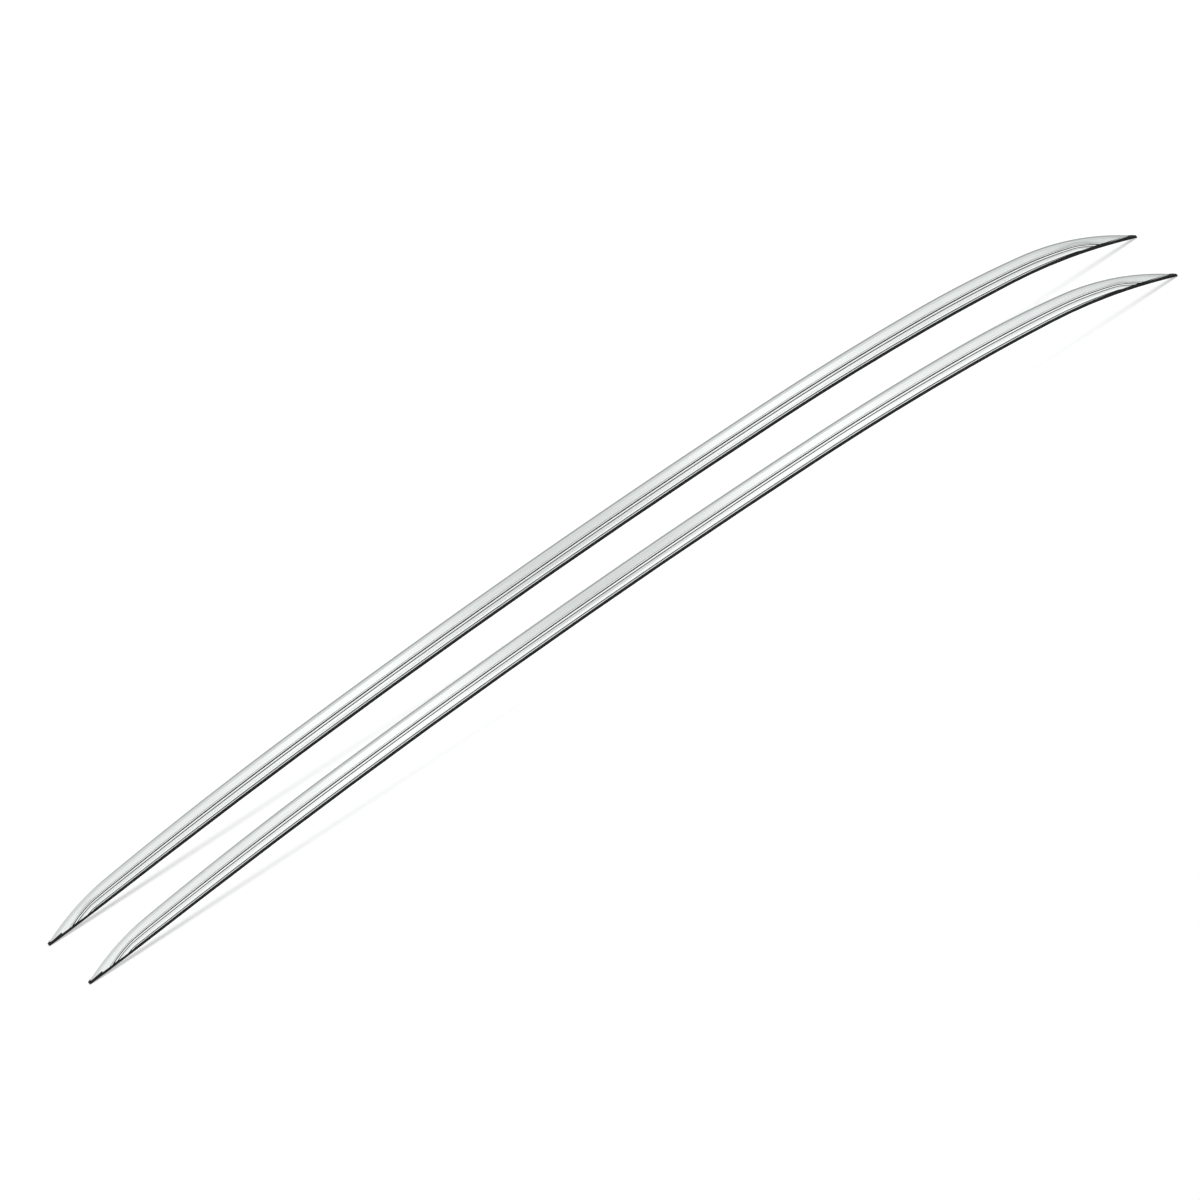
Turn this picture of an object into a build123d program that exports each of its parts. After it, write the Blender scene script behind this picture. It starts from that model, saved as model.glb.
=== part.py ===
from build123d import *
import math
import os

os.makedirs("parts", exist_ok=True)

# Frame, mm: X runs along the rails (+X = front of the car), Z is up, the rails stand on their ends.
# Every length below is written once; the fits and clearances further down are tied to these values.
# A reach is measured inwards from an end of the rail, so that the ends keep their form at any length.

# The pair
rail_spacing = 372.0
half_length = 931.5

# Seat line: the arched line on which a rail meets its gasket, as arcs from the crown outwards
crown_x = 365.5
seat_rear_r = 13350.0
rear_flat_run = 197.0
seat_front_r = 4300.0
front_turn_reach = 324.0
seat_brow_r = 3200.0
seat_brow_run = 137.0
front_run_out = 5.3

# Bending line of the extrusion: it leaves the seat line near each end and dives below it
rear_sink_reach = 452.0
sink_r = 6150.0
sink_run = 331.0
rear_run_out = 3.8645
rear_dive_run = 150.0
front_sink_r = 1590.0
front_sink_run = 164.0
front_dive_r = 318.0
front_dive_run = 180.0

# Section of the extrusion
rail_height = 28.4
base_half = 12.5
base_edge = 1.8
base_draft = 0.1
base_line_depth = 0.8
bead_top = 10.0
bead_half = 12.3
bead_top_half = 11.2
valley_depth = 1.0
waist_half = 10.7
groove_bottom = 13.4
groove_width = 1.7
groove_depth = 1.8
lip_half = 11.1
lip_top = 16.6
dome_r = 25.0
dome_angle = 12.0
shoulder_r = 4.5
shoulder_angle = 60.0
trim_allowance = 1.5

# Hollows of the extrusion
wall = 2.2
slot_half = 5.0
slot_lip = 3.2
channel_half = 8.4
web_bottom = 11.2
web = 2.2
web_top = web_bottom + web
chamber_foot_half = waist_half - groove_depth - wall
chamber_knee = groove_bottom + groove_width + 1.6
chamber_half = lip_half - wall - 0.3

# Gasket under the rail
gasket_thick = 3.5
gasket_lip = 0.5
rib_gap = 0.4
rib_high = 1.6
rib_rear_reach = 231.5
rib_front_reach = 241.5
rib_break = 26.0

# Bolted fixings: T-shaped nut plates in the channel and seals around the roof bolts
bolt_count = 5
bolt_rear_reach = 297.0
bolt_front_reach = 286.0
tapped_r = 2.5
nut_gap = 0.3
seat_gap = 0.05
nut_thick = 5.5
nut_long = 44.0
neck_long = 22.0
neck_deep = 1.8
collar_r = 4.2
collar_short = 0.3
bolt_hole_r = collar_r + nut_gap
seal_r = 9.6
seal_gap = 0.2
seal_proud = 0.4

# End plugs pushed into the upper chamber
plug_gap = 0.3
rear_plug_reach = 105.0
front_plug_reach = 114.0
rear_foot_long = 25.0
rear_foot_tip = 0.5
rear_foot_high = 1.9
rear_nose = 11.0
front_foot_long = 46.0
front_foot_tip = 2.0
front_foot_high = 0.5
front_nose = 15.0
nose_high = 10.0

# Dimensions that follow from the ones above
rear_reach = half_length + crown_x
front_reach = half_length - crown_x
seat_rear_run = rear_reach - rear_flat_run
seat_front_run = front_reach - front_turn_reach
sink_start = rear_reach - rear_sink_reach
bolt_first = bolt_rear_reach - rear_reach
bolt_last = front_reach - bolt_front_reach
bolt_pitch = (bolt_last - bolt_first) / (bolt_count - 1)
nut_half = channel_half - nut_gap
neck_half = slot_half - nut_gap
rib_half = slot_half - rib_gap
groove_half = waist_half - groove_depth
cut_half = base_half + 8.0
cut_high = 3 * rail_height
cut_deep = 3 * gasket_thick


def arc_chain(direction, arcs):
    """Tangent arcs walked from the crown: centre x and z, radius, start and end angle from upright."""
    x, z, angle, chain = crown_x, 0.0, 0.0, []
    for radius, run in arcs:
        cx = x - radius * math.sin(angle)
        cz = z - radius * math.cos(angle)
        end = angle + direction * run / radius
        chain.append((cx, cz, radius, angle, end))
        x = cx + radius * math.sin(end)
        z = cz + radius * math.cos(end)
        angle = end
    return chain


def arc_point(arc, angle, lift=0.0):
    """Point of an arc in the XZ plane, lifted off it along its normal."""
    radius = arc[2] + lift
    return (arc[0] + radius * math.sin(angle), arc[1] + radius * math.cos(angle))


def arc_angle(arc, x, lift=0.0):
    """Angle at which an arc, lifted off along its normal, passes x."""
    return math.asin((x - arc[0]) / (arc[2] + lift))


def next_radius(arc, point, lift=0.0):
    """Radius of the tangent arc that carries on from an arc so that, lifted, it passes through a point."""
    x, z = arc_point(arc, arc[4], lift)
    dx = point[0] - x
    dz = point[1] - z
    return -(dx * dx + dz * dz) / 2 / (dx * math.sin(arc[4]) + dz * math.cos(arc[4])) - lift


# Rear half: the seat line ends in a straight run, and the extrusion dives so that its top runs out on it
rear_arc = arc_chain(-1, [(seat_rear_r, seat_rear_run)])[0]
rear_angle = rear_arc[4]
rear_x, rear_z = arc_point(rear_arc, rear_angle)


def flat_point(x, lift=0.0):
    """Point of the straight rear run of the seat line under x, lifted along its normal."""
    drop = (x - rear_x) * math.tan(rear_angle)
    return (x + lift * math.sin(rear_angle), rear_z - drop + lift * math.cos(rear_angle))


bend_sink = [(seat_rear_r, sink_start), (sink_r, sink_run)]
rear_tip = flat_point(rear_run_out - half_length)
rear_dive_r = next_radius(arc_chain(-1, bend_sink)[-1], rear_tip, rail_height)
bend_rear = arc_chain(-1, bend_sink + [(rear_dive_r, rear_dive_run)])

# Front half: the extrusion dives, and the nose of the seat line turns down to meet its top as it runs out
bend_front = arc_chain(
    1,
    [(seat_front_r, seat_front_run), (front_sink_r, front_sink_run), (front_dive_r, front_dive_run)],
)
bend_arcs = bend_rear + bend_front
seat_front = [(seat_front_r, seat_front_run), (seat_brow_r, seat_brow_run)]
front_arc, brow_arc = arc_chain(1, seat_front)
tip_angle = arc_angle(bend_front[-1], half_length - front_run_out, rail_height)
front_tip = arc_point(bend_front[-1], tip_angle, rail_height)
seat_nose_r = next_radius(brow_arc, front_tip)
nose_arc = arc_chain(1, seat_front + [(seat_nose_r, front_reach)])[-1]
nose_end = arc_angle(nose_arc, half_length)
seat_arcs = [
    rear_arc[:3] + (rear_angle, 0.0),
    front_arc,
    brow_arc,
    nose_arc[:4] + (nose_end,),
]


# The lower of the two gasket ends stands on the floor
rear_floor = flat_point(-half_length, -gasket_thick)[1]
front_floor = arc_point(nose_arc, nose_end, -gasket_thick)[1]
floor = min(rear_floor, front_floor)


def seat_arc(x):
    """The seat-line arc over x."""
    found = seat_arcs[0]
    for arc in seat_arcs[1:]:
        if x > arc_point(arc, arc[3])[0]:
            found = arc
    return found


def seat_z(x):
    """Height of the seat line at x, measured from the crown."""
    if x < rear_x:
        return flat_point(x)[1]
    arc = seat_arc(x)
    return arc_point(arc, arc_angle(arc, x))[1]


def seat_lines(lift, first_x=-half_length, last_x=half_length):
    """Draws the lifted seat line between two x in the current line builder; gives its two ends."""
    ends = []
    if first_x < rear_x:
        ends = [flat_point(first_x, lift), flat_point(rear_x, lift)]
        Line(*ends)
    for arc in seat_arcs:
        low_x = max(first_x, arc_point(arc, arc[3])[0])
        high_x = min(last_x, arc_point(arc, arc[4])[0])
        if high_x > low_x:
            start = arc_angle(arc, low_x)
            end = arc_angle(arc, high_x)
            ends += [arc_point(arc, start, lift), arc_point(arc, end, lift)]
            ThreePointArc(ends[-2], arc_point(arc, (start + end) / 2, lift), ends[-1])
    return ends[0], ends[-1]


def seat_layer(low, high, first_x=-half_length, last_x=half_length):
    """Face between two lifted seat lines, in the current sketch."""
    with BuildLine() as lines:
        low_rear, low_front = seat_lines(low, first_x, last_x)
        high_rear, high_front = seat_lines(high, first_x, last_x)
        Line(low_rear, high_rear)
        Line(low_front, high_front)
    make_face(lines.edges())


def above_seat(rear_foot, front_foot):
    """Face from the seat line and the upper edges of two feet up past the rail, in the current sketch."""
    with BuildLine() as lines:
        rear, front = seat_lines(0, rear_foot[0][0], front_foot[0][0])
        Polyline(
            rear,
            *rear_foot,
            (-half_length, cut_high),
            (half_length, cut_high),
            *reversed(front_foot),
            front,
        )
    make_face(lines.edges())


def bend_at(station):
    """Arc and angle of the bending line at a distance from the crown (negative to the rear)."""
    chain = bend_front if station >= 0 else bend_rear
    left = abs(station)
    for arc in chain:
        run = abs(arc[4] - arc[3]) * arc[2]
        if left <= run:
            break
        left -= run
    return arc, arc[3] + math.copysign(left / arc[2], station)


def bolt_plane(station, y, lift=0.0):
    """Plane lying on the bending line at a station: local z points up out of the roof."""
    arc, angle = bend_at(station)
    x, z = arc_point(arc, angle, lift)
    along = (math.cos(angle), 0, -math.sin(angle))
    upright = (math.sin(angle), 0, math.cos(angle))
    return Plane(origin=(x, y, z - floor), x_dir=along, z_dir=upright)


def side_plane(y):
    """Upright plane through a rail's middle: local x is the frame's X, local y the height over the crown."""
    return Plane(origin=(0, y, -floor), x_dir=(1, 0, 0), z_dir=(0, -1, 0))


def seat_lift(station):
    """Distance from the bending line up to the seat line at a station."""
    arc, angle = bend_at(station)
    x, z = arc_point(arc, angle)
    seat = seat_arc(x)
    dx = x - seat[0]
    dz = z - seat[1]
    along = dx * math.sin(angle) + dz * math.cos(angle)
    return math.sqrt(along * along - dx * dx - dz * dz + seat[2] * seat[2]) - along


def collar_lift(station):
    """Height of the lower end of a nut plate's collar over the bending line."""
    return seat_lift(station) - gasket_thick + collar_short


def spun(outline, arcs, y):
    """Spins the section that outline draws along arcs of the bending line, in the current part builder."""
    for arc in arcs:
        start = min(arc[3], arc[4])
        x, z = arc_point(arc, start)
        ahead = (math.cos(start), 0, -math.sin(start))
        with BuildSketch(Plane(origin=(x, y, z - floor), x_dir=(0, 1, 0), z_dir=ahead)) as section:
            outline()
        axis = Axis((arc[0], y, arc[1] - floor), (0, 1, 0))
        revolve(section.sketch, axis=axis, revolution_arc=math.degrees(abs(arc[4] - arc[3])))


def bend_beyond(station):
    """Arcs of the bending line from a station outwards to the end."""
    chain = bend_front if station >= 0 else bend_rear
    arc, angle = bend_at(station)
    return [arc[:3] + (angle, arc[4])] + chain[chain.index(arc) + 1:]


def crown_lines(grow):
    """Dome and shoulder of the crown, drawn from the top down; gives the end of the shoulder."""
    dome = JernArc((0, rail_height + grow), (1, 0), dome_r + grow, -dome_angle)
    shoulder = JernArc(dome @ 1, dome % 1, shoulder_r + grow, -shoulder_angle)
    return shoulder @ 1


def chamber_outline(gap=0.0, mode=Mode.ADD):
    """Upper hollow of the extrusion, drawn smaller all round by a gap."""
    roof = rail_height - wall - gap
    with BuildLine() as lines:
        Polyline(
            (0, roof),
            (chamber_foot_half - wall - gap, roof),
            (chamber_half - gap, chamber_knee),
            (chamber_foot_half - gap, chamber_knee - wall + gap / 2),
            (chamber_foot_half - gap, web_top + gap),
            (0, web_top + gap),
        )
        mirror(about=Plane.YZ)
    make_face(lines.edges(), mode=mode)


def rail_outline():
    """Outer shape of the extrusion with its bead, base line and grooves, less its hollows."""
    groove_top = groove_bottom + groove_width
    bead_bottom = base_edge + 2 * base_line_depth
    with BuildLine() as lines:
        flank = crown_lines(0)
        side = Polyline(
            flank,
            (lip_half, lip_top),
            (lip_half, groove_top),
            (groove_half, groove_top),
            (groove_half, groove_bottom),
            (waist_half, groove_bottom),
            (waist_half, bead_top + 1.4 * valley_depth),
            (bead_top_half - valley_depth, bead_top + 0.7 * valley_depth),
            (bead_top_half, bead_top),
        )
        bead = ThreePointArc(
            side @ 1,
            (bead_half, (bead_top + bead_bottom) / 2),
            (bead_half, bead_bottom),
        )
        Polyline(
            bead @ 1,
            (base_half - base_line_depth, base_edge + base_line_depth),
            (base_half - base_draft, base_edge),
            (base_half, -trim_allowance),
            (0, -trim_allowance),
        )
        mirror(about=Plane.YZ)
    make_face(lines.edges())
    chamber_outline(mode=Mode.SUBTRACT)
    with Locations((0, (slot_lip + web_bottom) / 2)):
        Rectangle(2 * channel_half, web_bottom - slot_lip, mode=Mode.SUBTRACT)
    with Locations((0, (slot_lip - trim_allowance) / 2)):
        Rectangle(2 * slot_half, slot_lip + trim_allowance, mode=Mode.SUBTRACT)


def plain_outline(grow=0.0, deep=0.0):
    """Outer shape of the extrusion without its grooves, grown all round and carried below the seat."""
    with BuildLine() as lines:
        flank = crown_lines(grow)
        Polyline(
            flank,
            (lip_half + grow, lip_top),
            (base_half + grow, bead_top / 2),
            (base_half + grow, -deep),
            (0, -deep),
        )
        mirror(about=Plane.YZ)
    make_face(lines.edges())


def gasket_outline():
    """Plan of the gasket: the rail's own shape plus a small lip."""
    plain_outline(gasket_lip, cut_deep)


def plug_outline():
    """Section of an end plug in the upper hollow."""
    chamber_outline(plug_gap)


def foot_top(inner_x, inner_high, nose_x, tip_high, tip_x):
    """Upper edge of a plug's foot: it runs out along the rail and turns up at the rail's blunt nose."""
    return [
        (inner_x, seat_z(inner_x) + inner_high),
        (nose_x, seat_z(nose_x) + tip_high),
        (tip_x, seat_z(tip_x) + nose_high),
    ]


def wedge(top):
    """Face below the upper edge of a foot, in the current sketch."""
    inner_x = top[0][0]
    tip_x = top[-1][0]
    with BuildLine() as lines:
        Polyline(
            (tip_x, seat_z(tip_x) - cut_deep),
            (inner_x, seat_z(inner_x) - cut_deep),
            *top,
            close=True,
        )
    make_face(lines.edges())


# One end plug at each end: its first station and the upper edge of its foot
rear_foot = foot_top(
    rear_foot_long - half_length, rear_foot_high, rear_nose - half_length, rear_foot_tip, -half_length
)
front_foot = foot_top(
    half_length - front_foot_long, front_foot_high, half_length - front_nose, front_foot_tip, half_length
)
plugs = {
    "rear": (rear_plug_reach - rear_reach, rear_foot),
    "front": (front_reach - front_plug_reach, front_foot),
}
bolts = [bolt_first + bolt_pitch * i for i in range(bolt_count)]
bolt_x = [bolt_plane(station, 0).origin.X for station in bolts]
rib_starts = [rib_rear_reach - half_length] + [x + rib_break for x in bolt_x]
rib_ends = [x - rib_break for x in bolt_x] + [half_length - rib_front_reach]

for side, y in (("left", rail_spacing / 2), ("right", -rail_spacing / 2)):
    # Rail: a bent aluminium extrusion, milled along the seat line so that both ends run out to a tip
    with BuildPart() as rail:
        spun(rail_outline, bend_arcs, y)
        with BuildSketch(side_plane(y)):
            above_seat(rear_foot, front_foot)
        extrude(amount=cut_half, both=True, mode=Mode.INTERSECT)
    rail.part.label = f"{side}_rail"
    export_step(rail.part, f"parts/{side}_rail.step")

    # Gasket: a soft strip under the whole length, with a locating rib in the slot and holes for the seals
    with BuildPart() as gasket:
        spun(gasket_outline, bend_arcs, y)
        with BuildSketch(side_plane(y)):
            seat_layer(-gasket_thick, 0)
        extrude(amount=cut_half, both=True, mode=Mode.INTERSECT)
        for first_x, last_x in zip(rib_starts, rib_ends):
            with BuildSketch(side_plane(y)):
                seat_layer(-gasket_thick / 2, rib_high, first_x, last_x)
            extrude(amount=rib_half, both=True)
        for station in bolts:
            with BuildSketch(bolt_plane(station, y, seat_lift(station) - 2 * gasket_thick)):
                Circle(seal_r + seal_gap)
            extrude(amount=3 * gasket_thick, mode=Mode.SUBTRACT)
    gasket.part.label = f"{side}_base_gasket"
    export_step(gasket.part, f"parts/{side}_base_gasket.step")

    # End plugs: moulded wedges that close the upper hollow, each with a thin foot under the rail's tip
    for end, (station, foot) in plugs.items():
        with BuildPart() as plug:
            spun(plain_outline, bend_beyond(station), y)
            with BuildSketch(side_plane(y)):
                wedge(foot)
            extrude(amount=cut_half, both=True, mode=Mode.INTERSECT)
            spun(plug_outline, bend_beyond(station), y)
            with BuildSketch(side_plane(y)):
                seat_layer(0, cut_high)
            extrude(amount=cut_half, both=True, mode=Mode.INTERSECT)
        plug.part.label = f"{side}_{end}_plug"
        export_step(plug.part, f"parts/{side}_{end}_plug.step")

    for number, station in enumerate(bolts, 1):
        # Nut plate: a T-shaped steel bar on the lips of the channel, tapped for a bolt from inside the roof;
        # its collar goes through the seal and stops the gasket being crushed
        with BuildPart() as nut:
            with BuildSketch(bolt_plane(station, y, slot_lip + seat_gap)):
                Rectangle(nut_long, 2 * nut_half)
            extrude(amount=nut_thick)
            with BuildSketch(bolt_plane(station, y, slot_lip + seat_gap)):
                Rectangle(neck_long, 2 * neck_half)
            extrude(amount=-neck_deep)
            with BuildSketch(bolt_plane(station, y, collar_lift(station))):
                Circle(collar_r)
            extrude(amount=slot_lip + seat_gap - collar_lift(station))
            with BuildSketch(bolt_plane(station, y, collar_lift(station))):
                Circle(tapped_r)
            extrude(amount=4 * nut_thick, mode=Mode.SUBTRACT)
        nut.part.label = f"{side}_nut_plate_{number}"
        export_step(nut.part, f"parts/{side}_nut_plate_{number}.step")

    # Bolt seals: soft rings in the gasket's holes, pressed between rail and roof around the bolts
    with BuildPart() as seals:
        for station in bolts:
            with BuildSketch(bolt_plane(station, y, seat_lift(station) - 2 * gasket_thick)):
                Circle(seal_r)
                Circle(bolt_hole_r, mode=Mode.SUBTRACT)
            extrude(amount=3 * gasket_thick)
        with BuildSketch(side_plane(y)):
            seat_layer(-gasket_thick - seal_proud, 0)
        extrude(amount=cut_half, both=True, mode=Mode.INTERSECT)
    seals.part.label = f"{side}_bolt_seals"
    export_step(seals.part, f"parts/{side}_bolt_seals.step")
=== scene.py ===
import math

import bpy
from mathutils import Matrix, Vector


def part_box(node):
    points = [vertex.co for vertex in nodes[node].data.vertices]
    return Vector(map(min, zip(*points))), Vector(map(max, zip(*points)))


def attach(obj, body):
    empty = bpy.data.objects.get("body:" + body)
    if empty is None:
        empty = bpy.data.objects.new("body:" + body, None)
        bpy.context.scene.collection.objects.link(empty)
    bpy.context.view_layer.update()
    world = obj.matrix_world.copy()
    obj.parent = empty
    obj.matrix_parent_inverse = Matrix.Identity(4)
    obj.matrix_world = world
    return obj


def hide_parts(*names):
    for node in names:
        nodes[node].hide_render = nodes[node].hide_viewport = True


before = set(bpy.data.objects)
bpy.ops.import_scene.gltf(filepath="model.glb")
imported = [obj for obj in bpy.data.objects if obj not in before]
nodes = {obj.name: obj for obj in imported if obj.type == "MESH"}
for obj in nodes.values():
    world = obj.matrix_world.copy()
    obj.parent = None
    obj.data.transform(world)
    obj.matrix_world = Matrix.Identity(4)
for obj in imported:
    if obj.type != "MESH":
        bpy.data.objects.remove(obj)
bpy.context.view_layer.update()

# Gaskets and bolt seals: soft black rubber, matt, with the faint mottling of a moulded skin.
# The gasket lies under the whole rail and its lip hugs the lowest 0.9 mm of the rail's foot, where the rail
# is drawn in the same rubber; the seals sit in its holes around the bolts.
rubber = bpy.data.materials.new("gasket_rubber_look")
rubber.use_nodes = True
tree = rubber.node_tree
shader = tree.nodes["Principled BSDF"]
where = tree.nodes.new("ShaderNodeTexCoord")
mottle = tree.nodes.new("ShaderNodeTexNoise")
mottle.inputs["Scale"].default_value = 900.0
mottle.inputs["Detail"].default_value = 4.0
shade = tree.nodes.new("ShaderNodeValToRGB")
shade.color_ramp.elements[0].color = (0.004, 0.004, 0.004, 1.0)
shade.color_ramp.elements[1].color = (0.010, 0.010, 0.010, 1.0)
grain = tree.nodes.new("ShaderNodeBump")
grain.inputs["Strength"].default_value = 0.15
grain.inputs["Distance"].default_value = 0.0002
shader.inputs["Roughness"].default_value = 0.7
shader.inputs["Specular IOR Level"].default_value = 0.3
tree.links.new(where.outputs["Object"], mottle.inputs["Vector"])
tree.links.new(mottle.outputs["Fac"], shade.inputs["Fac"])
tree.links.new(shade.outputs["Color"], shader.inputs["Base Color"])
tree.links.new(mottle.outputs["Fac"], grain.inputs["Height"])
tree.links.new(grain.outputs["Normal"], shader.inputs["Normal"])
for side in ("left", "right"):
    for piece in (f"{side}_base_gasket", f"{side}_bolt_seals"):
        nodes[piece].data.materials.clear()
        nodes[piece].data.materials.append(rubber)

# Rails: bent aluminium extrusions, bright satin anodised. They are fixed by bolts from inside the roof.
# One half of the hollow section is drawn at the crown, moved to the rear end of the bend and spun forward
# along six arcs, then milled along the seat and under both tips, mirrored, and copied for the two sides.
aluminium = bpy.data.materials.new("rail_aluminium_look")
aluminium.use_nodes = True
tree = aluminium.node_tree
shader = tree.nodes["Principled BSDF"]
where = tree.nodes.new("ShaderNodeTexCoord")
along = tree.nodes.new("ShaderNodeMapping")
along.inputs["Scale"].default_value = (3.0, 900.0, 900.0)
drawn = tree.nodes.new("ShaderNodeTexNoise")
drawn.inputs["Scale"].default_value = 1.0
drawn.inputs["Detail"].default_value = 3.0
tint = tree.nodes.new("ShaderNodeValToRGB")
tint.color_ramp.elements[0].position = 0.3
tint.color_ramp.elements[0].color = (0.80, 0.825, 0.82, 1.0)
tint.color_ramp.elements[1].position = 0.7
tint.color_ramp.elements[1].color = (0.86, 0.88, 0.875, 1.0)
sheen = tree.nodes.new("ShaderNodeMapRange")
sheen.inputs["To Min"].default_value = 0.15
sheen.inputs["To Max"].default_value = 0.22
tree.links.new(where.outputs["Object"], along.inputs["Vector"])
tree.links.new(along.outputs["Vector"], drawn.inputs["Vector"])
tree.links.new(drawn.outputs["Fac"], tint.inputs["Fac"])
tree.links.new(drawn.outputs["Fac"], sheen.inputs["Value"])

# At the front end the gasket's lip climbs up to 2 mm high: rubber inside a round edge, metal outside it
lip_center = (0.6798, 0.0, -0.6637)
lip_radius = 0.715
side_view = tree.nodes.new("ShaderNodeVectorMath")
side_view.operation = "MULTIPLY"
side_view.inputs[1].default_value = (1.0, 0.0, 1.0)
reach = tree.nodes.new("ShaderNodeVectorMath")
reach.operation = "DISTANCE"
reach.inputs[1].default_value = lip_center
bare = tree.nodes.new("ShaderNodeMath")
bare.operation = "GREATER_THAN"
bare.inputs[1].default_value = lip_radius
skin = tree.nodes.new("ShaderNodeMix")
skin.data_type = "RGBA"
skin.inputs["A"].default_value = (0.007, 0.007, 0.007, 1.0)
finish = tree.nodes.new("ShaderNodeMix")
finish.inputs["A"].default_value = 0.7
tree.links.new(where.outputs["Object"], side_view.inputs[0])
tree.links.new(side_view.outputs["Vector"], reach.inputs[0])
tree.links.new(reach.outputs["Value"], bare.inputs[0])
tree.links.new(bare.outputs["Value"], skin.inputs["Factor"])
tree.links.new(tint.outputs["Color"], skin.inputs["B"])
tree.links.new(skin.outputs["Result"], shader.inputs["Base Color"])
tree.links.new(bare.outputs["Value"], finish.inputs["Factor"])
tree.links.new(sheen.outputs["Result"], finish.inputs["B"])
tree.links.new(finish.outputs["Result"], shader.inputs["Roughness"])
tree.links.new(bare.outputs["Value"], shader.inputs["Metallic"])

# Darker, matt copies of the rail's metal: painted shade in the groove and the valley of the flank. The
# groove's copy is also laid on the base line and the valley's on the lip line, as painted shade along these
# thin lines.
painted_shade_looks = []
for name, dark, light in (("rail_groove_painted_shade", 0.07, 0.12), ("rail_valley_painted_shade", 0.16, 0.26)):
    shade_metal = aluminium.copy()
    shade_metal.name = name
    tree = shade_metal.node_tree
    ramp = tree.nodes["Color Ramp"].color_ramp
    ramp.elements[0].color = (dark, dark, dark, 1.0)
    ramp.elements[1].color = (light, light, light, 1.0)
    tree.nodes["Map Range"].inputs["To Min"].default_value = 0.5
    tree.nodes["Map Range"].inputs["To Max"].default_value = 0.6
    painted_shade_looks.append(shade_metal)

# The crown is the highest point of the bend, and the drawn rail stays a hair inside the height of the CAD's
rail_height = 0.0284
crown_x = 0.3655
inside_box = 0.00005
crown_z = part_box("left_rail")[1][2] - rail_height - inside_box


def arc_chain(turn, arcs):
    """Tangent arcs from the crown towards one end: centre, radius and turned angle of each."""
    x, z, angle, chain = crown_x, crown_z, 0.0, []
    for radius, run in arcs:
        center = (x - radius * math.sin(angle), 0.0, z - radius * math.cos(angle))
        angle += turn * run / radius
        chain.append((center, radius, run / radius, angle))
        x = center[0] + radius * math.sin(angle)
        z = center[2] + radius * math.cos(angle)
    return chain


def chain_height(chain, x, lift=0.0):
    """Height of a chain of arcs over x, lifted off along the arcs' normals."""
    for center, radius, _, end in chain:
        angle = math.asin((x - center[0]) / (radius + lift))
        if abs(angle) < abs(end):
            break
    return center[2] + (radius + lift) * math.cos(angle)


def lone_point(x, y, z):
    """A new mesh of one vertex, left in edit mode."""
    bpy.ops.object.select_all(action="DESELECT")
    bpy.ops.mesh.primitive_plane_add(size=0.001)
    piece = bpy.context.object
    bpy.ops.object.mode_set(mode="EDIT")
    bpy.ops.mesh.merge(type="CENTER")
    bpy.ops.transform.translate(value=(x, y, z))
    return piece


def draw_through(corners, level_axis):
    """Straight edges from the first corner through the others, in mm along one level axis and upwards."""
    for (start, low), (stop, high) in zip(corners, corners[1:]):
        step = [part * (stop - start) / 1000 for part in level_axis]
        step[2] = (high - low) / 1000
        bpy.ops.mesh.extrude_region_move(TRANSFORM_OT_translate={"value": step})


# Radii and runs of the arcs in metres, from the crown outwards; the straight rear seat is an arc of 1 km
middle_r = 13.35
seat_rear_run = 1.1
seat_flat_run = 0.25
front_arc = (4.3, 0.242)
bend_rear = arc_chain(-1, ((middle_r, 0.845), (6.15, 0.331), (0.348, 0.150)))
bend_front = arc_chain(1, (front_arc, (1.59, 0.164), (0.318, 0.180)))
seat_rear = arc_chain(-1, ((middle_r, seat_rear_run), (1000.0, seat_flat_run)))
seat_front = arc_chain(1, (front_arc, (3.2, 0.137), (0.715, 0.25)))

# The section, in mm from the middle and its base: dome, shoulder, lip, groove, waist, bead, foot and hollow
rail = lone_point(crown_x, 0.0, crown_z + rail_height)
for steps, angle, y, z in ((3, 12, 0.0, 3.4), (9, 60, 4.262, 23.452)):
    center = (crown_x, y / 1000, crown_z + z / 1000)
    bpy.ops.mesh.spin(steps=steps, angle=math.radians(angle), center=center, axis=(1, 0, 0))
draw_through((
    (8.542, 24.843), (10.9, 17.4), (10.7, 17.0), (11.1, 16.6), (11.1, 15.5), (10.7, 15.1), (8.9, 14.7),
    (8.9, 13.8), (10.7, 13.4), (10.7, 11.4), (10.2, 10.7), (11.2, 10.0),
), level_axis=(0, 1, 0))
center = (crown_x, 0.00185, crown_z + 0.00505)
bpy.ops.mesh.spin(steps=8, angle=math.radians(36.87), center=center, axis=(1, 0, 0))
draw_through((
    (12.3, 3.4), (11.7, 2.6), (12.4, 1.8), (12.43, 0.9), (12.5, -1.5), (5.0, -1.5), (5.0, 3.2), (8.4, 3.2),
    (8.4, 11.2), (0.0, 11.2), (0.0, 13.4), (6.7, 13.4), (6.7, 14.5), (8.6, 16.7), (4.5, 26.2), (0.0, 26.2),
    (0.0, 28.4),
), level_axis=(0, 1, 0))
bpy.ops.mesh.select_all(action="SELECT")
bpy.ops.mesh.remove_doubles(threshold=0.00001)
bpy.ops.mesh.edge_face_add()

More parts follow.
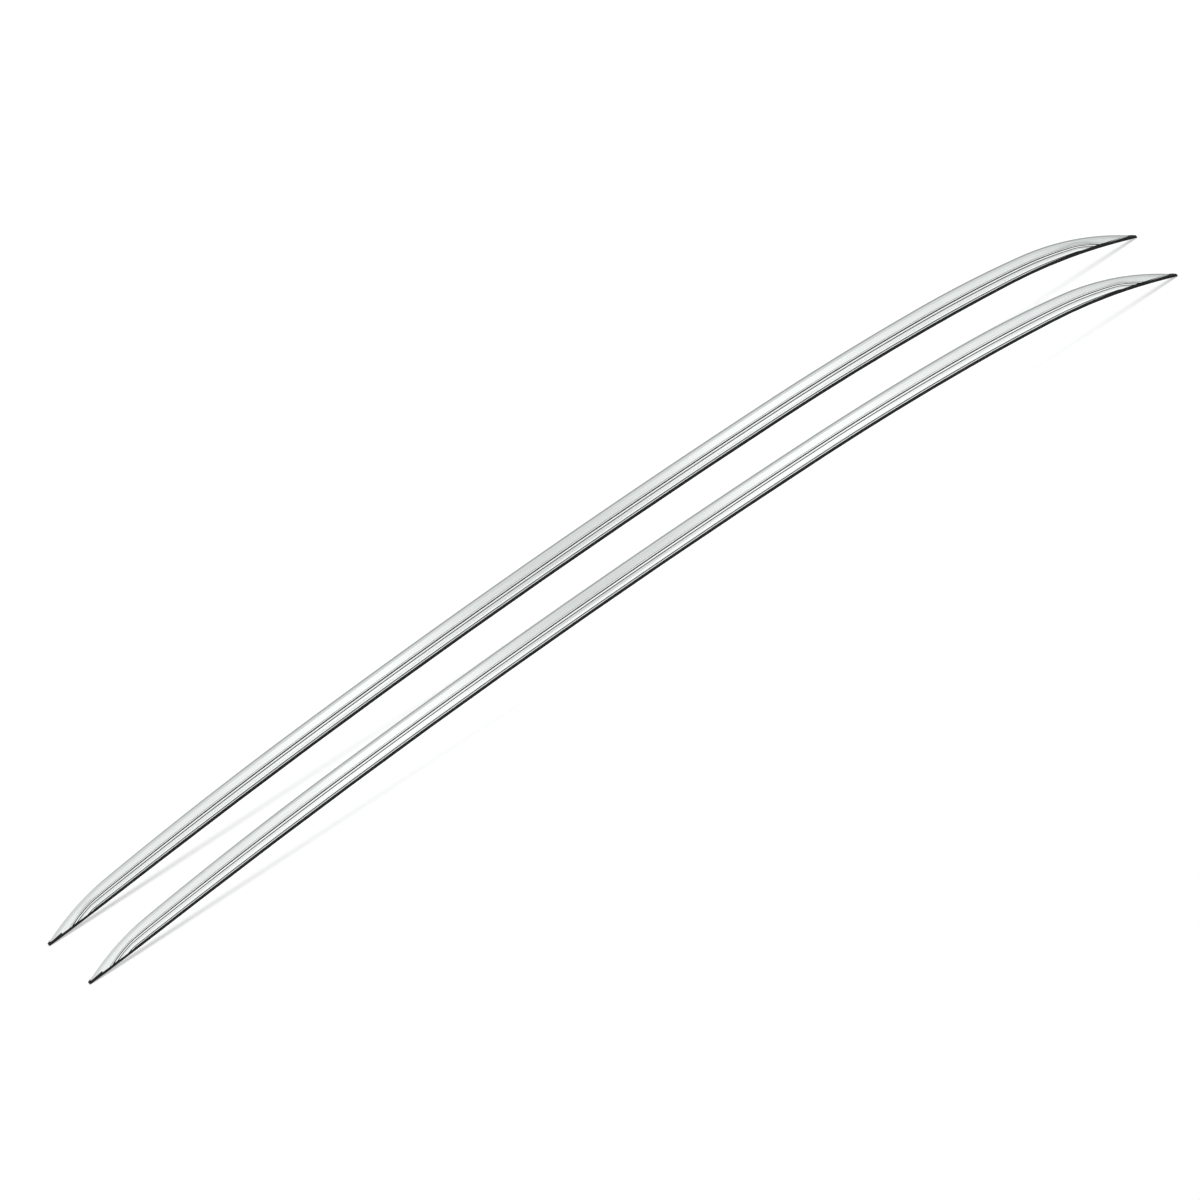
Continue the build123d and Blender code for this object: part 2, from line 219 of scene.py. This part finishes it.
# The narrow lines of the flank are remembered by name, so that the spin carries them along the rail
for name, low, high, least in (
    ("groove", 13.3, 15.2, 8.8),
    ("valley", 9.9, 11.5, 10.1),
    ("base line", 1.7, 3.5, 11.6),
    ("lip line", 16.5, 17.1, 10.6),
    ("foot", -1.6, 1.0, 12.41),
):
    bpy.ops.mesh.select_all(action="DESELECT")
    bpy.ops.object.mode_set(mode="OBJECT")
    for vertex in rail.data.vertices:
        height = (vertex.co.z - crown_z) * 1000
        vertex.select = low < height < high and vertex.co.y * 1000 > least
    bpy.ops.object.mode_set(mode="EDIT")
    bpy.ops.object.vertex_group_assign_new()
    rail.vertex_groups.active.name = name
bpy.ops.mesh.select_all(action="SELECT")
for center, _, turned, _ in bend_rear:
    bpy.ops.transform.rotate(value=turned, orient_axis="Y", orient_type="GLOBAL", center_override=center)
bend_steps = (30, 22, 44, 16, 20, 36)
for (center, _, turned, _), steps in zip(bend_rear[::-1] + bend_front, bend_steps):
    bpy.ops.mesh.spin(steps=steps, angle=turned, center=center, axis=(0, -1, 0))
bpy.ops.mesh.select_all(action="SELECT")
bpy.ops.mesh.normals_make_consistent(inside=False)
for look in (aluminium, *painted_shade_looks, rubber):
    rail.data.materials.append(look)
# Painted shade goes on the groove, base line, valley and lip line faces; the foot takes the gasket's
# rubber.
for group, look in (("groove", 1), ("valley", 2), ("base line", 1), ("lip line", 2), ("foot", 3)):
    bpy.ops.mesh.select_all(action="DESELECT")
    rail.vertex_groups.active = rail.vertex_groups[group]
    rail.active_material_index = look
    bpy.ops.object.vertex_group_select()
    bpy.ops.object.material_slot_assign()
bpy.ops.object.mode_set(mode="OBJECT")

# Towards both ends the lines of the flank draw together between the top of the rail and its seat
flank_half = 0.0087
lines_end = 0.9
lines_fade = 0.05
for vertex in rail.data.vertices:
    x, y, z = vertex.co
    bend, seat_line = (bend_rear, seat_rear) if x < crown_x else (bend_front, seat_front)
    base = chain_height(bend, x)
    seat_z = chain_height(seat_line, x)
    if y > flank_half and seat_z > base and abs(x) < lines_end:
        top = chain_height(bend, x, rail_height)
        share = min(1.0, (lines_end - abs(x)) / lines_fade)
        vertex.co.z += share * (top - z) * (seat_z - base) / (top - base)

# Milling cuts: below the arched seat, and under the blunt noses of the two tips (outlines in mm)
cut_from = -0.01
cut_wide = 0.04
cut_deep = 0.2
rear_center, _, rear_turn, _ = seat_rear[0]
flat_step = (seat_flat_run * math.cos(rear_turn), 0.0, seat_flat_run * math.sin(rear_turn))
seat = lone_point(crown_x, cut_from, crown_z)
bpy.ops.transform.rotate(
    value=rear_turn, orient_axis="Y", orient_type="GLOBAL", center_override=rear_center
)
bpy.ops.transform.translate(value=(-flat_step[0], 0.0, -flat_step[2]))
bpy.ops.mesh.extrude_region_move(TRANSFORM_OT_translate={"value": flat_step})
seat_steps = (60, 20, 14, 60)
for (center, _, turned, _), steps in zip(seat_rear[:1] + seat_front, seat_steps):
    bpy.ops.mesh.spin(steps=steps, angle=turned, center=center, axis=(0, -1, 0))
bpy.ops.mesh.select_all(action="SELECT")
bpy.ops.mesh.extrude_region_move(TRANSFORM_OT_translate={"value": (0.0, 0.0, -cut_deep)})
cutters = [seat]
for outline in (
    ((-931.5, -6.0), (-906.5, -4.0), (-906.5, 7.78), (-920.5, 5.22), (-931.5, 13.81)),
    ((931.5, -8.0), (885.5, 8.0), (885.5, 19.80), (916.5, 10.88), (931.5, 13.26)),
):
    bpy.ops.object.mode_set(mode="OBJECT")
    nose_cut = lone_point(outline[0][0] / 1000, cut_from, outline[0][1] / 1000)
    draw_through(outline, level_axis=(1, 0, 0))
    bpy.ops.mesh.select_all(action="SELECT")
    bpy.ops.mesh.edge_face_add()
    cutters.append(nose_cut)
bpy.ops.object.mode_set(mode="OBJECT")
for cutter in cutters:
    bpy.ops.object.select_all(action="DESELECT")
    bpy.context.view_layer.objects.active = cutter
    bpy.ops.object.mode_set(mode="EDIT")
    bpy.ops.mesh.select_all(action="SELECT")
    bpy.ops.mesh.extrude_region_move(TRANSFORM_OT_translate={"value": (0.0, cut_wide, 0.0)})
    bpy.ops.mesh.select_all(action="SELECT")
    bpy.ops.mesh.normals_make_consistent(inside=False)
    bpy.ops.object.mode_set(mode="OBJECT")
bpy.ops.object.select_all(action="DESELECT")
bpy.context.view_layer.objects.active = rail
rail.select_set(True)
for cutter in cutters:
    trim = rail.modifiers.new("trim", "BOOLEAN")
    trim.operation = "DIFFERENCE"
    trim.solver = "EXACT"
    trim.object = cutter
    bpy.ops.object.modifier_apply(modifier="trim")
    bpy.data.objects.remove(cutter)

# The wall on the middle plane goes, and the half is mirrored across it
on_middle = 0.00002
merge_within = 0.00005
for face in rail.data.polygons:
    face.select = all(abs(rail.data.vertices[v].co.y) < on_middle for v in face.vertices)
bpy.ops.object.mode_set(mode="EDIT")
bpy.ops.mesh.delete(type="FACE")
bpy.ops.object.mode_set(mode="OBJECT")
fold = rail.modifiers.new("fold", "MIRROR")
fold.use_axis = (False, True, False)
fold.merge_threshold = merge_within
bpy.ops.object.modifier_apply(modifier="fold")
bpy.ops.object.mode_set(mode="EDIT")
bpy.ops.mesh.select_all(action="SELECT")
bpy.ops.mesh.normals_make_consistent(inside=False)
bpy.ops.object.mode_set(mode="OBJECT")
bpy.ops.object.shade_smooth_by_angle(angle=math.radians(20))
rail.vertex_groups.clear()
half_spacing = 0.186
for side, shift in (("left", half_spacing), ("right", -2 * half_spacing)):
    if side == "right":
        bpy.ops.object.duplicate()
        rail = bpy.context.object
    bpy.ops.object.mode_set(mode="EDIT")
    bpy.ops.mesh.select_all(action="SELECT")
    bpy.ops.transform.translate(value=(0.0, shift, 0.0))
    bpy.ops.object.mode_set(mode="OBJECT")
    rail.name = f"{side}_rail_drawn"
    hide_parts(f"{side}_rail")
    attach(rail, "root")

# End plugs: moulded black plastic wedges pushed into the hollow of the rail at each end.
# Only the thin foot under the rail's tip is seen, and the nose past it. Above a sloping edge, given by one
# point and its slope, the nose is foiled in the rail's silver.
for end, (edge_x, edge_z, edge_slope) in (
    ("front", (0.8855, 0.0198, -0.3131)),
    ("rear", (-0.9205, 0.00522, 0.183)),
):
    plastic = bpy.data.materials.new(f"{end}_plug_plastic_look")
    plastic.use_nodes = True
    tree = plastic.node_tree
    shader = tree.nodes["Principled BSDF"]
    where = tree.nodes.new("ShaderNodeTexCoord")
    spark = tree.nodes.new("ShaderNodeTexNoise")
    spark.inputs["Scale"].default_value = 1600.0
    shade = tree.nodes.new("ShaderNodeValToRGB")
    shade.color_ramp.elements[0].color = (0.006, 0.006, 0.007, 1.0)
    shade.color_ramp.elements[1].color = (0.014, 0.014, 0.015, 1.0)
    grain = tree.nodes.new("ShaderNodeBump")
    grain.inputs["Strength"].default_value = 0.2
    grain.inputs["Distance"].default_value = 0.0001
    across = tree.nodes.new("ShaderNodeVectorMath")
    across.operation = "DOT_PRODUCT"
    across.inputs[1].default_value = (-edge_slope, 0.0, 1.0)
    foiled = tree.nodes.new("ShaderNodeMath")
    foiled.operation = "GREATER_THAN"
    foiled.inputs[1].default_value = edge_z - edge_slope * edge_x
    colour = tree.nodes.new("ShaderNodeMix")
    colour.data_type = "RGBA"
    colour.inputs["B"].default_value = (0.83, 0.85, 0.85, 1.0)
    gloss = tree.nodes.new("ShaderNodeMapRange")
    gloss.inputs["To Min"].default_value = 0.5
    gloss.inputs["To Max"].default_value = 0.18
    tree.links.new(where.outputs["Object"], spark.inputs["Vector"])
    tree.links.new(spark.outputs["Fac"], shade.inputs["Fac"])
    tree.links.new(spark.outputs["Fac"], grain.inputs["Height"])
    tree.links.new(grain.outputs["Normal"], shader.inputs["Normal"])
    tree.links.new(where.outputs["Object"], across.inputs[0])
    tree.links.new(across.outputs["Value"], foiled.inputs[0])
    tree.links.new(foiled.outputs["Value"], colour.inputs["Factor"])
    tree.links.new(shade.outputs["Color"], colour.inputs["A"])
    tree.links.new(colour.outputs["Result"], shader.inputs["Base Color"])
    tree.links.new(foiled.outputs["Value"], shader.inputs["Metallic"])
    tree.links.new(foiled.outputs["Value"], gloss.inputs["Value"])
    tree.links.new(gloss.outputs["Result"], shader.inputs["Roughness"])
    for side in ("left", "right"):
        plug = nodes[f"{side}_{end}_plug"]
        plug.data.materials.clear()
        plug.data.materials.append(plastic)

# Nut plates: zinc-plated steel bars in the channel of each rail, tapped for the roof bolts.
# The plating shows a faint crystal pattern.
zinc = bpy.data.materials.new("fixing_steel_look")
zinc.use_nodes = True
tree = zinc.node_tree
shader = tree.nodes["Principled BSDF"]
shader.inputs["Metallic"].default_value = 1.0
where = tree.nodes.new("ShaderNodeTexCoord")
crystals = tree.nodes.new("ShaderNodeTexVoronoi")
crystals.inputs["Scale"].default_value = 500.0
shade = tree.nodes.new("ShaderNodeValToRGB")
shade.color_ramp.elements[0].color = (0.50, 0.51, 0.50, 1.0)
shade.color_ramp.elements[1].color = (0.68, 0.69, 0.67, 1.0)
shader.inputs["Roughness"].default_value = 0.38
tree.links.new(where.outputs["Object"], crystals.inputs["Vector"])
tree.links.new(crystals.outputs["Distance"], shade.inputs["Fac"])
tree.links.new(shade.outputs["Color"], shader.inputs["Base Color"])
for side in ("left", "right"):
    for number in range(1, 6):
        nut = nodes[f"{side}_nut_plate_{number}"]
        nut.data.materials.clear()
        nut.data.materials.append(zinc)

# Floor: a plain white sheet just under the object's lowest point, which takes the rails' soft shadow.
# Its glow makes it as white as the background. It shows to the camera and in reflections, and puts no
# other light on the rails.
floor_size = 14.0
floor_gap = 0.0004
bpy.ops.mesh.primitive_plane_add(size=floor_size, location=(0.0, 0.0, -floor_gap))
floor = bpy.context.object
floor.name = "floor"
white = bpy.data.materials.new("floor_white")
white.use_nodes = True
tree = white.node_tree
shader = tree.nodes["Principled BSDF"]
shader.inputs["Base Color"].default_value = (0.85, 0.85, 0.85, 1.0)
shader.inputs["Roughness"].default_value = 1.0
shader.inputs["Specular IOR Level"].default_value = 0.0
shader.inputs["Emission Color"].default_value = (1.0, 1.0, 1.0, 1.0)
rays = tree.nodes.new("ShaderNodeLightPath")
mirrored = tree.nodes.new("ShaderNodeMath")
mirrored.operation = "MAXIMUM"
seen = tree.nodes.new("ShaderNodeMath")
seen.operation = "MAXIMUM"
glow = tree.nodes.new("ShaderNodeMath")
glow.operation = "MULTIPLY"
glow.inputs[1].default_value = 0.5
tree.links.new(rays.outputs["Is Glossy Ray"], mirrored.inputs[0])
tree.links.new(rays.outputs["Is Transmission Ray"], mirrored.inputs[1])
tree.links.new(rays.outputs["Is Camera Ray"], seen.inputs[0])
tree.links.new(mirrored.outputs["Value"], seen.inputs[1])
tree.links.new(seen.outputs["Value"], glow.inputs[0])
tree.links.new(glow.outputs["Value"], shader.inputs["Emission Strength"])
white.cycles.emission_sampling = "NONE"
floor.data.materials.append(white)

# Room light: white walls down to the floor, a grey ceiling that is lighter overhead, and a darker far side,
# which draws the thin grey line of the crests. Ceiling and far side are lighter towards the rear end.
# The camera and the metal see the same room.
world = bpy.data.worlds.new("room")
bpy.context.scene.world = world
world.use_nodes = True
tree = world.node_tree
room = tree.nodes["Background"]
where = tree.nodes.new("ShaderNodeTexCoord")
parts = tree.nodes.new("ShaderNodeSeparateXYZ")
rear_side = tree.nodes.new("ShaderNodeMapRange")
rear_side.inputs["From Min"].default_value = -0.005
rear_side.inputs["From Max"].default_value = -0.05
ceiling = tree.nodes.new("ShaderNodeMix")
ceiling.data_type = "RGBA"
ceiling.inputs["A"].default_value = (0.56, 0.57, 0.57, 1.0)
ceiling.inputs["B"].default_value = (0.76, 0.77, 0.77, 1.0)
overhead = tree.nodes.new("ShaderNodeMapRange")
overhead.inputs["From Min"].default_value = 0.62
overhead.inputs["From Max"].default_value = 0.80
lit_top = tree.nodes.new("ShaderNodeMix")
lit_top.data_type = "RGBA"
lit_top.inputs["B"].default_value = (0.80, 0.81, 0.81, 1.0)
behind = tree.nodes.new("ShaderNodeMapRange")
behind.inputs["From Min"].default_value = 0.45
behind.inputs["From Max"].default_value = 0.75
back_wall = tree.nodes.new("ShaderNodeMix")
back_wall.data_type = "RGBA"
back_wall.inputs["A"].default_value = (0.41, 0.42, 0.42, 1.0)
back_wall.inputs["B"].default_value = (0.72, 0.73, 0.73, 1.0)
round_room = tree.nodes.new("ShaderNodeMix")
round_room.data_type = "RGBA"
raised = tree.nodes.new("ShaderNodeMapRange")
raised.inputs["From Max"].default_value = 0.15
whole = tree.nodes.new("ShaderNodeMix")
whole.data_type = "RGBA"
whole.inputs["A"].default_value = (1.0, 1.0, 1.0, 1.0)
tree.links.new(where.outputs["Generated"], parts.inputs["Vector"])
tree.links.new(parts.outputs["X"], rear_side.inputs["Value"])
tree.links.new(rear_side.outputs["Result"], ceiling.inputs["Factor"])
tree.links.new(parts.outputs["Z"], raised.inputs["Value"])
tree.links.new(raised.outputs["Result"], whole.inputs["Factor"])
tree.links.new(parts.outputs["Z"], overhead.inputs["Value"])
tree.links.new(overhead.outputs["Result"], lit_top.inputs["Factor"])
tree.links.new(ceiling.outputs["Result"], lit_top.inputs["A"])
tree.links.new(rear_side.outputs["Result"], back_wall.inputs["Factor"])
tree.links.new(parts.outputs["Y"], behind.inputs["Value"])
tree.links.new(behind.outputs["Result"], round_room.inputs["Factor"])
tree.links.new(lit_top.outputs["Result"], round_room.inputs["A"])
tree.links.new(back_wall.outputs["Result"], round_room.inputs["B"])
tree.links.new(round_room.outputs["Result"], whole.inputs["B"])
tree.links.new(whole.outputs["Result"], room.inputs["Color"])

# Studio lamps: a row of soft panels on the camera's side. The two narrow bright ones make the white
# stretches of the flanks, the dimmer ones the grey stretches between and beyond them.
panel_height = 1.7
panel_y = -2.1
panel_z = 0.88
panel_tilt = math.radians(68)
level_per_watt = 0.344
for number, (left, right, radiance) in enumerate((
    (-2.1, -0.98, 0.27),
    (-0.98, -0.48, 0.35),
    (-0.48, -0.17, 0.78),
    (-0.17, 0.30, 0.15),
    (0.30, 0.62, 0.78),
    (0.62, 1.18, 0.40),
    (1.18, 2.3, 0.32),
), 1):
    lamp = bpy.data.lights.new(f"panel {number}", "AREA")
    lamp.shape = "RECTANGLE"
    lamp.size = right - left
    lamp.size_y = panel_height
    lamp.energy = radiance * lamp.size * panel_height / level_per_watt
    panel = bpy.data.objects.new(f"panel {number}", lamp)
    bpy.context.collection.objects.link(panel)
    panel.location = ((left + right) / 2, panel_y, panel_z)
    panel.rotation_euler = (panel_tilt, 0.0, 0.0)

# Camera: parallel view from the side, a little above, rolled so that the rails climb to the right.
azimuth = math.radians(-2.981)
elevation = math.radians(12.07)
roll = math.radians(32.46)
toward = Vector((
    math.sin(azimuth) * math.cos(elevation),
    -math.cos(azimuth) * math.cos(elevation),
    math.sin(elevation),
))
level = Vector((math.cos(azimuth), math.sin(azimuth), 0.0))
upright = toward.cross(level)
right = level * math.cos(roll) - upright * math.sin(roll)
up = level * math.sin(roll) + upright * math.cos(roll)
photo_pixels = 1200
metres_per_pixel = 0.001 / 0.6982
pixels_left = 13.14
pixels_up = 10.24
distance = 3.5
place = toward * distance + (up * pixels_up - right * pixels_left) * metres_per_pixel
lens = bpy.data.cameras.new("camera")
lens.type = "ORTHO"
lens.ortho_scale = photo_pixels * metres_per_pixel
camera = bpy.data.objects.new("camera", lens)
bpy.context.collection.objects.link(camera)
camera.matrix_world = Matrix((
    (right.x, up.x, toward.x, place.x),
    (right.y, up.y, toward.y, place.y),
    (right.z, up.z, toward.z, place.z),
    (0.0, 0.0, 0.0, 1.0),
))
bpy.context.scene.camera = camera
bpy.context.scene.view_settings.view_transform = "Standard"
